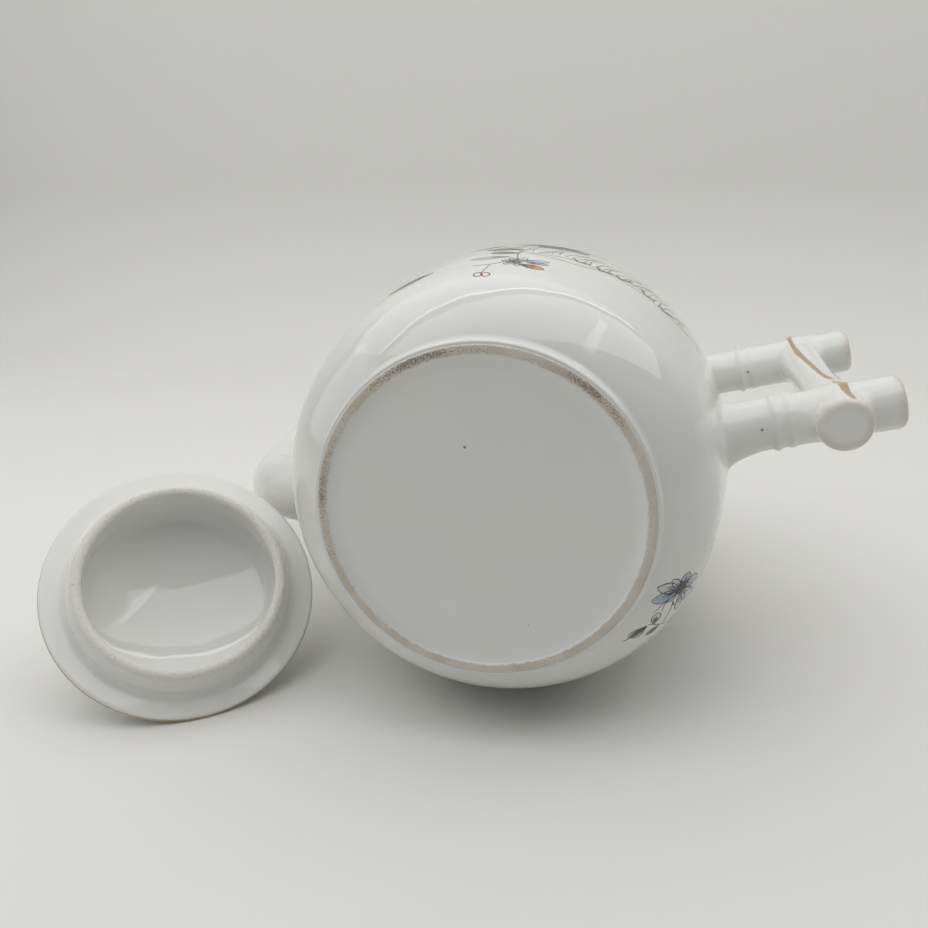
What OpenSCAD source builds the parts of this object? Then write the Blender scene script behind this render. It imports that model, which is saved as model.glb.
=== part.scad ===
// Porcelain teapot with a bamboo-stick handle, lying on its side,
// with its lid taken off and leaning upside down beside it.
// Millimetres, +Z up, table at z = 0. Each pot piece is drawn upright
// on its own axis, then laid down by lie_down(); the lid by lean_lid().

/* [Pot] */
// Radius of the pot at its widest
belly_r = 61; // [56:0.5:66]
// Height of the widest level above the foot
belly_z = 63; // [54:1:72]
// Radius of the long upright curve of the wall
wall_curve_r = 240; // [200:5:320]
// Radius of the round corner between foot and wall
corner_r = 28; // [24:1:30]
// Radius of the shoulder curve
shoulder_r = 28; // [24:1:30]
// Height of the pot from the foot to the rim of its mouth
pot_h = 155; // [148:1:165]
// Thickness of the wall
wall = 3.2; // [2.6:0.1:4]
// Thickness of the floor
floor_t = 3.6; // [3:0.1:5]

/* [Foot] */
// Radius of the middle of the bare ring that the pot stands on
foot_r = 41; // [38:0.5:42.5]
// Width of the flat bare ring
foot_w = 2.4; // [1.8:0.1:3]
// Bevel of the ring's two edges
foot_bevel = 0.7; // [0.4:0.1:1]
// Depth of the glazed base inside the ring
base_depth = 1.5; // [1:0.1:2.5]
// Further rise of the base at its middle
base_rise = 0.8; // [0.3:0.1:1.5]

/* [Spout] */
// Outer radius of the spout where it leaves the wall
spout_root_r = 13; // [12.5:0.5:15]
// Outer radius of the spout at its lip
spout_tip_r = 7.2; // [6.4:0.1:8.5]
// Thickness of the spout's wall
spout_wall = 2.4; // [1.8:0.1:2.8]
// Reach of the lip's middle from the pot's axis
spout_reach = 106; // [100:1:112]
// Drop of the lip's middle below the rim of the mouth
spout_drop = 5; // [0:0.5:12]
// Height at which the spout's middle line meets the wall
spout_root_z = 59.2; // [56:0.2:64]
// Diameter of each strainer hole
strainer_d = 3.2; // [2.5:0.1:3.4]

/* [Handle] */
// Radius of the three bamboo sticks
stick_r = 7; // [6.5:0.1:7.5]
// Height of the lower arm's axis above the foot
arm_low_z = 43.8; // [40:0.2:50]
// Distance between the axes of the two arms
arm_pitch = 82; // [76:1:88]
// Clear gap for the fingers between the belly and the grip
finger_gap = 21; // [19:0.5:26]
// How far each arm runs on past the grip's axis
arm_past = 16.5; // [14:0.5:20]
// How far the grip runs past the lower arm
grip_past = 15.5; // [12:0.5:18]
// How far the grip runs past the upper arm
grip_past_top = 10.5; // [10:0.5:15]
// How much slimmer the grip is at its middle
grip_waist = 1.1; // [0.4:0.1:1.6]
// Extra radius of the arm's flared root
root_flare = 3; // [1:0.2:4]
// Height of the two raised rings round each arm
node_rise = 0.7; // [0.3:0.1:1.2]
// Radius of the tenon by which each arm passes through the grip
tenon_r = 4; // [3:0.1:4.6]

/* [Lid] */
// Radius of the lid's rim
lid_r = 38.9; // [37.5:0.1:41]
// Rounding of the lid's rim
lid_edge_r = 1.1; // [0.8:0.1:1.4]
// Height of the lid's dome
lid_dome_h = 18; // [15:0.5:20]
// Thickness of the lid
lid_t = 3.2; // [2.6:0.1:3.8]
// Outer radius of the collar next to the rim
collar_r = 31.6; // [29:0.1:32.4]
// How much the collar narrows to its end
collar_taper = 1.6; // [0.6:0.1:3]
// Depth of the collar below the rim
collar_h = 8.5; // [7:0.1:14]
// Thickness of the collar
collar_t = 2.4; // [2:0.1:3]
// Clearance of the collar in the mouth
lid_play = 0.6; // [0.4:0.1:1]
// Radius of the bamboo-stick knob
knob_r = 6.2; // [5:0.1:7]
// Height of the knob above the dome
knob_h = 16; // [13:0.5:20]
// Rounding of the stick ends
end_r = 1.8; // [1:0.1:2.5]

/* [How it lies] */
// Turn of the handle upwards about the pot's axis
roll = 12.8; // [0:0.1:20]
// Dip of the mouth end when the pot lies on its belly
dip = 3; // [0:0.1:5]
// Turn of the lid about the vertical
lid_yaw = 35.5; // [0:0.5:45]
// Gap between the lid's rim middle and the pot's axis, seen from above
lid_x = 94.6; // [91:0.2:103]
// Place of the lid's rim middle behind the foot's plane
lid_y = 18.6; // [0:0.2:21]

/* [Hidden] */
$fn = 96;
porcelain = "#eceae4";
bare_clay = "#cfc3b2";
past = 1;                     // cutters run on this far past a face
ARC_STEPS = 14;               // points on each round stretch

// --- arcs and the side view of the pot ---------------------------------
function arc(c, r, a0, a1, n = ARC_STEPS) =
    [for (i = [0:n]) let(a = a0 + (a1 - a0) * i / n) c + r * [cos(a), sin(a)]];

shoulder_z = pot_h - shoulder_r;
foot_out = foot_r + foot_w / 2;
foot_in = foot_r - foot_w / 2;
mouth_r = collar_r + lid_play;
neck_r = mouth_r + wall;
wall_c = [belly_r - wall_curve_r, belly_z];
corner_c = [wall_c.x + sqrt(pow(wall_curve_r - corner_r, 2) - pow(belly_z - corner_r, 2)), corner_r];
shoulder_c = [wall_c.x + sqrt(pow(wall_curve_r - shoulder_r, 2) - pow(shoulder_z - belly_z, 2)), shoulder_z];
corner_join = atan2(corner_c.y - wall_c.y, corner_c.x - wall_c.x);
shoulder_join = atan2(shoulder_c.y - wall_c.y, shoulder_c.x - wall_c.x);

// Wall line at a depth t under the outer skin, from radius r0 at the
// bottom to radius r1 at the top
function wall_line(t, a_low, r1) = concat(
    arc(corner_c, corner_r - t, a_low, corner_join),
    arc(wall_c, wall_curve_r - t, corner_join, shoulder_join, 2 * ARC_STEPS),
    arc(shoulder_c, shoulder_r - t, shoulder_join, acos((r1 - shoulder_c.x) / (shoulder_r - t))));

foot_skin_r = foot_out + foot_bevel;
outer_low = -acos((foot_skin_r - corner_c.x) / corner_r);
inner_floor_z = base_depth + base_rise + floor_t;
inner_low = -asin((corner_c.y - inner_floor_z) / (corner_r - wall));
outer_line = wall_line(0, outer_low, neck_r);
inner_line = wall_line(wall, inner_low, mouth_r);

// Radius of the outer skin at a height within the long curve
function skin_r(z) = wall_c.x + sqrt(pow(wall_curve_r, 2) - pow(z - belly_z, 2));

module solid_pot() {
    rotate_extrude()
        polygon(concat([[0, 0], [foot_out, 0], [foot_skin_r, foot_bevel]], outer_line,
                       [[neck_r, pot_h - end_r], [neck_r, pot_h], [0, pot_h]]));
}

// --- bamboo sticks -----------------------------------------------------
// Side view of a stick's skin: a smooth bump of height h and half width w at x
function bump(x, at, w, h) = abs(x - at) < w ? h * pow(cos(90 * (x - at) / w), 2) : 0;

// --- placing -----------------------------------------------------------
// Height of the foot's middle when the belly lies on the table
foot_lie_z = wall_c.x * cos(dip) + belly_z * sin(dip) + wall_curve_r;

// The lid touches the table with its rim and with the end of its knob
knob_top = lid_dome_h + knob_h;
lean_run = (lid_r - lid_edge_r) - (knob_r - end_r);
lean_rise = (knob_top - end_r) - lid_edge_r;
lid_lean = atan2(lean_rise, lean_run) + asin((end_r - lid_edge_r) / norm([lean_run, lean_rise]));
lid_lie_z = (lid_r - lid_edge_r) * sin(lid_lean) + lid_edge_r * cos(lid_lean) + lid_edge_r;
lid_faces = [sin(lid_yaw) * sin(lid_lean), -cos(lid_yaw) * sin(lid_lean)];

// Reach of a round edge of the lid along X or Y (i = 0 or 1), either way
function lid_reach(i, r, depth, edge, way) = [-lid_x, lid_y][i] + depth * lid_faces[i]
    + way * ((r - edge) * sqrt(1 - pow(lid_faces[i], 2)) + edge);
// Reach of a pot piece's round edge along the pot's axis, either way
function pot_reach(r, z, edge, way) = (z - way * edge) * cos(dip) + way * ((r - edge) * sin(dip) + edge);

// The origin is the middle of the ground that the whole model covers
grip_x = belly_r + finger_gap + stick_r;
arm_high_z = arm_low_z + arm_pitch;
arm_end = grip_x + arm_past;
most_left = lid_reach(0, lid_r, -lid_edge_r, lid_edge_r, -1);
most_right = (arm_end - end_r) * cos(roll) + (stick_r - end_r) * sin(roll) + end_r;
most_front = min(lid_reach(1, lid_r, -lid_edge_r, lid_edge_r, -1),
    lid_reach(1, collar_r - collar_taper, collar_h - collar_t / 2, collar_t / 2, -1), -foot_out * sin(dip));
most_back = pot_reach(mouth_r + wall, pot_h, end_r, 1);
row_middle = [(most_left + most_right) / 2, (most_front + most_back) / 2, 0];

module lie_down() {
    translate([0, 0, foot_lie_z] - row_middle) rotate([-(90 + dip), 0, 0]) rotate([0, 0, -roll]) children();
}

module lean_lid() {
    translate([-lid_x, lid_y, lid_lie_z] - row_middle) rotate([0, 0, lid_yaw])
        rotate([180 + lid_lean, 0, 0]) children();
}

// --- pot body ----------------------------------------------------------
STRAINER_RINGS = 2;           // rings of holes round the middle one
strainer_pitch = 4.1;         // from one ring of holes to the next
module strainer() {
    translate([0, 0, spout_root_z]) rotate([0, -90, 0])
        for (ring = [0:STRAINER_RINGS], i = [0:max(1, ring * 6) - 1])
            rotate([0, 0, i * 60 / max(1, ring)]) translate([ring * strainer_pitch, 0, 0])
                cylinder(d = strainer_d, h = belly_r + past, $fn = 24);
}

module pot_body() {
    inner_top = [mouth_r, pot_h];
    color(porcelain) lie_down() difference() {
        rotate_extrude() polygon(concat(
            [[foot_in, 0], [foot_out, 0], [foot_skin_r, foot_bevel]], outer_line,
            arc([neck_r - end_r, pot_h - end_r], end_r, 0, 90, 6), [inner_top],
            [for (i = [len(inner_line) - 1:-1:0]) inner_line[i]], [[0, inner_floor_z]],
            [[0, base_depth + base_rise], [foot_in - foot_bevel - base_depth, base_depth]]));
        strainer();
    }
}

// --- spout -------------------------------------------------------------
SPOUT_RINGS = 24;
SPOUT_SIDES = 28;
SPOUT_TAPER = 0.81;           // below 1 the spout narrows sooner
lip_swell = 0.5;              // raised edge round the lip
lip_swell_run = 0.12;         // share of the spout that the raised edge takes
spout_sunk = 17;              // how far inside the belly the spout's middle line starts
spout_start = [belly_r - spout_sunk, spout_root_z - 0.3];
spout_bend_1 = spout_start + [40.2, 0.6];
spout_lip = [spout_reach, pot_h - spout_drop];
spout_bend_2 = [spout_reach - 12.1, spout_root_z + 6.1];
function bezier(t) = pow(1 - t, 3) * spout_start + 3 * pow(1 - t, 2) * t * spout_bend_1
    + 3 * (1 - t) * t * t * spout_bend_2 + pow(t, 3) * spout_lip;
function heading(t) = let(d = pow(1 - t, 2) * (spout_bend_1 - spout_start)
    + 2 * (1 - t) * t * (spout_bend_2 - spout_bend_1) + t * t * (spout_lip - spout_bend_2)) d / norm(d);
function spout_r(t) = spout_tip_r + (spout_root_r - spout_tip_r) * (1 + cos(180 * pow(t, SPOUT_TAPER))) / 2
    + bump(t, 1, lip_swell_run, lip_swell);
function spout_ring(t, r) = let(c = bezier(t), d = heading(t))
    [for (i = [0:SPOUT_SIDES - 1]) let(a = 360 * i / SPOUT_SIDES)
        [-(c.x + r * cos(a) * d.y), r * sin(a), c.y - r * cos(a) * d.x]];
function tube_faces(rings, sides) = [for (j = [0:rings - 2], i = [0:sides - 1])
    let(k = (i + 1) % sides) [j * sides + i, j * sides + k, (j + 1) * sides + k, (j + 1) * sides + i]];

module spout_tube(inset, over) {
    ts = [for (j = [0:SPOUT_RINGS - 1]) j / (SPOUT_RINGS - 1)];
    rings = concat([for (t = ts) spout_ring(t, spout_r(t) - inset)],
        [[for (p = spout_ring(1, spout_r(1) - inset)) p + over * [-heading(1).x, 0, heading(1).y]]]);
    n = len(rings);
    polyhedron(points = [for (r = rings) each r],
        faces = concat(tube_faces(n, SPOUT_SIDES),
            [[for (i = [SPOUT_SIDES - 1:-1:0]) i]],
            [[for (i = [0:SPOUT_SIDES - 1]) (n - 1) * SPOUT_SIDES + i]]), convexity = 6);
}

module spout() {
    color(porcelain) lie_down() difference() {
        spout_tube(0, 0.01);
        spout_tube(spout_wall, past);
        solid_pot();
    }
}

// --- handle ------------------------------------------------------------
ARM_STEPS = 64;
node_w = 1.7;                 // half width of a raised ring
node_split = 3.6;             // from one ring of a pair to the other
arm_sink = 22;                // start of an arm, inside the belly's radius
flare_run = 10;               // how far the flare runs out from the skin

// Radius of an arm, set at height z on the pot, at a distance x from the pot's axis
function arm_r(x, z) = let(skin = skin_r(min(z, shoulder_z)), mid = (belly_r + grip_x - stick_r) / 2)
    stick_r + root_flare * pow(max(0, min(1, (skin + flare_run - x) / flare_run)), 1.6)
    + bump(x, mid - node_split / 2, node_w, node_rise) + bump(x, mid + node_split / 2, node_w, node_rise);

module stick_body(z) {
    first = belly_r - arm_sink;
    last = arm_end - end_r;
    rotate_extrude() polygon(concat([[0, first]],
        [for (i = [0:ARM_STEPS]) let(x = first + (last - first) * i / ARM_STEPS) [arm_r(x, z), x]],
        arc([stick_r - end_r, last], end_r, 0, 90, 6), [[0, arm_end]]));
}

GRIP_STEPS = 40;
module grip_stick() {
    low = arm_low_z - grip_past;
    high = arm_high_z + grip_past_top;
    mid = (low + high) / 2;
    half = (high - low) / 2;
    function grip_r(z) = stick_r - grip_waist * pow(cos(90 * (z - mid) / half), 2);
    rotate_extrude() polygon(concat([[0, low]], arc([stick_r - end_r, low + end_r], end_r, -90, 0, 6),
        [for (i = [1:GRIP_STEPS - 1]) let(z = low + end_r + (high - low - 2 * end_r) * i / GRIP_STEPS)
            [grip_r(z), z]],
        arc([stick_r - end_r, high - end_r], end_r, 0, 90, 6), [[0, high]]));
}

module tenon(z) {
    translate([grip_x - stick_r - past, 0, z]) rotate([0, 90, 0])
        cylinder(r = tenon_r, h = 2 * (stick_r + past), $fn = 48);
}

module handle_arm(z) {
    color(porcelain) lie_down() union() {
        difference() {
            translate([0, 0, z]) rotate([0, 90, 0]) stick_body(z);
            solid_pot();
            translate([grip_x, 0, 0]) grip_stick();
        }
        tenon(z);
    }
}

module handle_lower_arm() { handle_arm(arm_low_z); }
module handle_upper_arm() { handle_arm(arm_high_z); }

module handle_grip() {
    color(porcelain) lie_down() difference() {
        translate([grip_x, 0, 0]) grip_stick();
        tenon(arm_low_z);
        tenon(arm_high_z);
    }
}

// --- lid ---------------------------------------------------------------
// Upright, z = 0 is the underside of the rim, which rests on the mouth
dome_run = lid_r - lid_edge_r;
dome_curve_r = (pow(dome_run, 2) + pow(lid_dome_h - lid_edge_r, 2) - pow(lid_edge_r, 2))
    / (2 * (lid_dome_h - 2 * lid_edge_r));
dome_c = [0, lid_dome_h - dome_curve_r];
dome_half = asin(dome_run / (dome_curve_r - lid_edge_r));
collar_end_r = collar_r - collar_taper;
rim_fillet = 2.5;             // hollow round between rim and collar
hollow_fillet = 3.5;          // round between collar and dome, inside
hollow_r = collar_r - collar_t - 0.6; // inside the collar's root, a little thicker there
fillet_reach = dome_curve_r - lid_t - hollow_fillet;
fillet_turn = asin((hollow_r - hollow_fillet) / fillet_reach);
fillet_c = dome_c + fillet_reach * [sin(fillet_turn), cos(fillet_turn)];

dome_line = concat(arc([dome_run, lid_edge_r], lid_edge_r, -90, 90 - dome_half, 8),
    arc(dome_c, dome_curve_r, 90 - dome_half, 90, 2 * ARC_STEPS));

module lid() {
    color(porcelain) lean_lid() rotate_extrude() polygon(concat(
        arc([collar_end_r - collar_t / 2, collar_t / 2 - collar_h], collar_t / 2, -180, 0, 8),
        arc([collar_r + rim_fillet, -rim_fillet], rim_fillet, 180, 90, 6),
        dome_line,
        arc(dome_c, dome_curve_r - lid_t, 90, 90 - fillet_turn, ARC_STEPS),
        arc(fillet_c, hollow_fillet, 90 - fillet_turn, 0, 6)));
}

KNOB_STEPS = 36;
knob_flare = 2.2;             // extra radius of the knob where it meets the dome
knob_flare_h = 6;             // height of that flare
knob_node_h = 9.2;            // height of the lower ring above the dome
// Radius of the knob at height s above the dome
function knob_skin(s) = knob_r + knob_flare * pow(max(0, 1 - max(s, 0) / knob_flare_h), 2)
    + bump(s, knob_node_h, node_w, node_rise) + bump(s, knob_node_h + node_split, node_w, node_rise);

module lid_knob() {
    sink = lid_t + past;      // starts this far under the top of the dome
    color(porcelain) lean_lid() difference() {
        rotate_extrude() polygon(concat([[0, lid_dome_h - sink]],
            [for (i = [0:KNOB_STEPS]) let(s = (knob_h + sink - end_r) * i / KNOB_STEPS - sink)
                [knob_skin(s), lid_dome_h + s]],
            arc([knob_r - end_r, knob_top - end_r], end_r, 0, 90, 6), [[0, knob_top]]));
        rotate_extrude() polygon(concat([[0, 0]], dome_line));
    }
}

pot_body();
spout();
handle_lower_arm();
handle_upper_arm();
handle_grip();
lid();
lid_knob();
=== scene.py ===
"""White porcelain teapot lying on its side, its lid leaning upside down beside it.

Every shape is worked in millimetres on the upright pot (or the upright lid), then scaled
to metres and laid down with its body, as part.scad lays the solids down.
"""

import math
import random

import bpy
import numpy as np
from mathutils import Matrix, Vector
from mathutils.geometry import delaunay_2d_cdt


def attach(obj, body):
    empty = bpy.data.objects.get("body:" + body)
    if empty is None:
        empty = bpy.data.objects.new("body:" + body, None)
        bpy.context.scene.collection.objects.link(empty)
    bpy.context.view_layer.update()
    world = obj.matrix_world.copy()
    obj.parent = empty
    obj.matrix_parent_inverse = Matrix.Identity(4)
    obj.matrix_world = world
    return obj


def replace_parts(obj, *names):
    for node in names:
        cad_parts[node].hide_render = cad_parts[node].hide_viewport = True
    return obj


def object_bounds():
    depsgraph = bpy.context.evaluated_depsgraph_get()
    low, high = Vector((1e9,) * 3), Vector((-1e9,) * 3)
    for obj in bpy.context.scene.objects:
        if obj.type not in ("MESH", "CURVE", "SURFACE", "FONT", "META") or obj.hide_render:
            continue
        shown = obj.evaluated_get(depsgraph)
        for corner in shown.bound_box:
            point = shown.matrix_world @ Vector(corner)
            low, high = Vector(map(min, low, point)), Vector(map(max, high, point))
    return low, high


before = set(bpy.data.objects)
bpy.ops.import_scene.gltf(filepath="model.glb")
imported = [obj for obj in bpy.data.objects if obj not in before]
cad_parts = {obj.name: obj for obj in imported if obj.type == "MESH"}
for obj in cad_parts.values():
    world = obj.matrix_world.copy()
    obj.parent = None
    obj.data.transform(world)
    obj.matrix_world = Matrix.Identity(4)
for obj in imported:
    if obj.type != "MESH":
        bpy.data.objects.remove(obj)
CAD_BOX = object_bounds()
MM = 0.001
QUARTER, HALF_TURN, FULL_TURN = math.pi / 2, math.pi, 2 * math.pi

# --- sizes of the pot, as in part.scad (mm) ---
BELLY_R, BELLY_Z, WALL_CURVE_R = 61.0, 63.0, 240.0
CORNER_R, SHOULDER_R, POT_H = 28.0, 28.0, 155.0
WALL_T, FLOOR_T, END_R = 3.2, 3.6, 1.8
FOOT_R, FOOT_W, FOOT_BEVEL = 41.0, 2.4, 0.7
BASE_DEPTH, BASE_RISE = 1.5, 0.8
COLLAR_R, LID_PLAY = 31.6, 0.6
MOUTH_R = COLLAR_R + LID_PLAY
NECK_R = MOUTH_R + WALL_T
SPOUT_ROOT_R, SPOUT_TIP_R, SPOUT_WALL, SPOUT_TAPER = 13.0, 7.2, 2.4, 0.81
SPOUT_LINE = np.array([(44, 58.9), (84.2, 59.5), (93.9, 65.3), (106, 150)], float)
STRAINER_Z, STRAINER_HOLE_R, STRAINER_PITCH, STRAINER_RINGS = 59.2, 1.6, 4.1, 2
STICK_R, ARM_LOW_Z, ARM_HIGH_Z, GRIP_X = 7.0, 43.8, 125.8, 89.0
ARM_END, GRIP_PAST, GRIP_PAST_TOP, GRIP_WAIST = 105.5, 15.5, 10.5, 1.1
LID_R, LID_EDGE_R, DOME_H, LID_T = 38.9, 1.1, 18.0, 3.2
COLLAR_TAPER, COLLAR_H, RIM_FILLET = 1.6, 8.5, 2.5
COLLAR_T = 3.2  # the solid's is 2.4, but the photograph shows a thicker collar
KNOB_R, KNOB_H = 6.2, 16.0

# --- how it lies ---
ROLL, DIP, LID_YAW = (math.radians(a) for a in (12.8, 3.0, 35.5))
LID_BESIDE, LID_BEHIND = 94.6, 18.6  # the lid's rim, from the pot's axis and from its foot


def placed(at, *turns):
    """The matrix of a thing that is turned, the last turn first, and then moved to its place in mm."""
    matrix = Matrix.Translation(at * MM)
    for angle, axis in turns:
        matrix = matrix @ Matrix.Rotation(angle, 4, axis)
    return matrix


def add_object(name, data):
    made = bpy.data.objects.new(name, data)
    bpy.context.collection.objects.link(made)
    return made


def reach_along(out, up, tilt):
    """How far (mm) a rounded edge reaches once it is tilted: out along its axis, up across it."""
    return (out - END_R) * math.cos(tilt) + (up - END_R) * math.sin(tilt) + END_R


# the upper arm's end reaches the frame's right side, and the neck reaches its back
FRAME_RIGHT, FRAME_BACK = CAD_BOX[1][0] / MM, CAD_BOX[1][1] / MM
POT_LIE_Z = WALL_CURVE_R + (BELLY_R - WALL_CURVE_R) * math.cos(DIP) + BELLY_Z * math.sin(DIP)
POT_AT = Vector((FRAME_RIGHT - reach_along(ARM_END, STICK_R, ROLL),
                 FRAME_BACK - reach_along(POT_H, NECK_R, DIP), POT_LIE_Z))
# the lid leans on its rim and its knob
LEAN_RUN = (LID_R - LID_EDGE_R) - (KNOB_R - END_R)
LEAN_RISE = (DOME_H + KNOB_H - END_R) - LID_EDGE_R
LID_LEAN = (math.atan2(LEAN_RISE, LEAN_RUN)
            + math.asin((END_R - LID_EDGE_R) / math.hypot(LEAN_RUN, LEAN_RISE)))
LID_LIE_Z = (LID_R - LID_EDGE_R) * math.sin(LID_LEAN) + LID_EDGE_R * (1 + math.cos(LID_LEAN))
LID_AT = Vector((POT_AT.x - LID_BESIDE, POT_AT.y + LID_BEHIND, LID_LIE_Z))
PLACES = {"pot": placed(POT_AT, (-QUARTER - DIP, "X"), (-ROLL, "Z")),
          "lid": placed(LID_AT, (LID_YAW, "Z"), (HALF_TURN + LID_LEAN, "X"))}

# --- camera, at the photograph's viewing angle ---
CAM_FROM_FOOT = Vector((41.408, -208.276, 87.398))
CAM_TURN, CAM_TILT, CAM_ROLL = (math.radians(a) for a in (12.334, -19.13, -1.132))
CAM_LENS, CAM_SENSOR = 36.456, 36.0


def make_camera():
    """It looks along +Y, turned towards -X, tilted down and rolled a little."""
    cam = add_object("camera", bpy.data.cameras.new("camera"))
    cam.data.lens, cam.data.sensor_width = CAM_LENS, CAM_SENSOR
    cam.data.clip_start = 10 * MM
    turns = (CAM_TURN, "Z"), (QUARTER + CAM_TILT, "X"), (CAM_ROLL, "Z")
    cam.matrix_world = placed(POT_AT + CAM_FROM_FOOT, *turns)
    bpy.context.scene.camera = cam


# --- mesh helpers ---
def make_piece(name, verts_mm, faces, material, body, normals=None, extra=None):
    """A piece from millimetre vertices. It keeps them in the attribute "loc" for its material."""
    turn, at = np.array(PLACES[body].to_3x3()), np.array(PLACES[body].translation)
    verts_mm = np.asarray(verts_mm, float)
    mesh = bpy.data.meshes.new(name)
    mesh.from_pydata((verts_mm * MM @ turn.T + at).tolist(), [], faces)
    mesh.update()
    loc = mesh.attributes.new("loc", "FLOAT_VECTOR", "POINT")
    loc.data.foreach_set("vector", verts_mm.astype(np.float32).ravel())
    for key, values in (extra or {}).items():
        row = mesh.attributes.new(key, "FLOAT", "POINT")
        row.data.foreach_set("value", np.asarray(values, np.float32))
    mesh.shade_smooth()
    if normals is not None:
        mesh.normals_split_custom_set_from_vertices((np.asarray(normals) @ turn.T).tolist())
    mesh.materials.append(material)
    piece = add_object(name, mesh)
    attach(piece, body)
    return piece


def arc(cx, cz, r, a0, a1, n):
    """Points on a round stretch of a side view, angles in radians."""
    return [(cx + r * math.cos(a0 + (a1 - a0) * i / n), cz + r * math.sin(a0 + (a1 - a0) * i / n))
            for i in range(n + 1)]


def straight(start, end, n):
    """The points between two points of a side view, n steps apart, without the two."""
    start, end = np.array(start), np.array(end)
    return [tuple(start + (end - start) * k / n) for k in range(1, n)]


def clean(line, least=0.02):
    """The line without points that are nearer than least (mm) to the one before."""
    kept = [line[0]]
    for p in line[1:]:
        if math.dist(p, kept[-1]) > least:
            kept.append(p)
    return kept


def circle(n, start=0.0):
    """n angles once round, from start."""
    return np.linspace(start, start + FULL_TURN, n, endpoint=False)


def lathe(line, around, skip=lambda i, j: False):
    """Vertices and faces of a side view turned round Z. skip(i, j) leaves a face out."""
    verts, rows = [], []
    for r, z in line:
        if r < 1e-6:
            rows.append([len(verts)] * around)
            verts.append((0, 0, z))
        else:
            rows.append(list(range(len(verts), len(verts) + around)))
            verts += [(r * math.cos(a), r * math.sin(a), z) for a in circle(around)]
    faces = []
    for i in range(len(rows) - 1):
        for j in range(around):
            if not skip(i, j):
                k = (j + 1) % around
                quad = [rows[i][j], rows[i][k], rows[i + 1][k], rows[i + 1][j]]
                faces.append(list(dict.fromkeys(quad)))
    return verts, faces


# --- side view of the pot ---
WALL_C = (BELLY_R - WALL_CURVE_R, BELLY_Z)
SHOULDER_Z = POT_H - SHOULDER_R


def round_centre(r, z):
    """Middle of the round of radius r at height z that runs smoothly into the wall's curve."""
    return WALL_C[0] + math.sqrt((WALL_CURVE_R - r) ** 2 - (BELLY_Z - z) ** 2), z


CORNER_C, SHOULDER_C = round_centre(CORNER_R, CORNER_R), round_centre(SHOULDER_R, SHOULDER_Z)
CORNER_JOIN, SHOULDER_JOIN = (math.atan2(c[1] - WALL_C[1], c[0] - WALL_C[0])
                              for c in (CORNER_C, SHOULDER_C))
FOOT_OUT, FOOT_IN = FOOT_R + FOOT_W / 2, FOOT_R - FOOT_W / 2
BEAD_R = 0.5  # the glaze bead is this much wider than the foot's bevel
SKIN_FROM_R = FOOT_OUT + FOOT_BEVEL + BEAD_R
INNER_FLOOR_Z = BASE_DEPTH + BASE_RISE + FLOOR_T


def wall_line(t, low, r1, steps):
    """The wall's side view t inside the skin, from the angle low up to the radius r1."""
    end = math.acos((r1 - SHOULDER_C[0]) / (SHOULDER_R - t))
    return clean(arc(*CORNER_C, CORNER_R - t, low, CORNER_JOIN, steps[0])
                 + arc(*WALL_C, WALL_CURVE_R - t, CORNER_JOIN, SHOULDER_JOIN, steps[1])
                 + arc(*SHOULDER_C, SHOULDER_R - t, SHOULDER_JOIN, end, steps[2]))


OUTER = wall_line(0, -math.acos((SKIN_FROM_R - CORNER_C[0]) / CORNER_R), NECK_R, (26, 120, 40))
INNER = wall_line(WALL_T, -math.asin((CORNER_R - INNER_FLOOR_Z) / (CORNER_R - WALL_T)), MOUTH_R,
                  (18, 120, 24))
SKIN_R, SKIN_Z = np.array(OUTER).T


def skin_distance(p):
    """Signed distance (mm) of points to the pot's outer skin."""
    r, z = np.hypot(p[:, 0], p[:, 1]), p[:, 2]
    rounds = (CORNER_C, CORNER_R), (SHOULDER_C, SHOULDER_R), (WALL_C, WALL_CURVE_R)
    corner, shoulder, wall = (np.hypot(r - c[0], z - c[1]) - size for c, size in rounds)
    a = np.arctan2(z - WALL_C[1], r - WALL_C[0])
    return np.select([a < CORNER_JOIN, a > SHOULDER_JOIN], [corner, shoulder], wall)


# --- soft joins: distance fields and their surface ---
def smooth_min(a, b, k):
    """Joins two fields, rounded over k mm."""
    h = np.maximum(k - np.abs(a - b), 0) / k
    return np.minimum(a, b) - h ** 3 * k / 6


def unit(rows, least=1e-9):
    return rows / np.maximum(np.linalg.norm(rows, axis=1, keepdims=True), least)


def slope(field, p, step=0.02):
    """The way in which a field grows at each point."""
    steps = np.eye(3) * step
    return unit(np.stack([(field(p + e) - field(p - e)) / (2 * step) for e in steps], 1))


def settle(field, p, rounds=5):
    """Moves points on to the surface where the field is zero."""
    for _ in range(rounds):
        p = p - field(p)[:, None] * slope(field, p)
    return p


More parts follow.
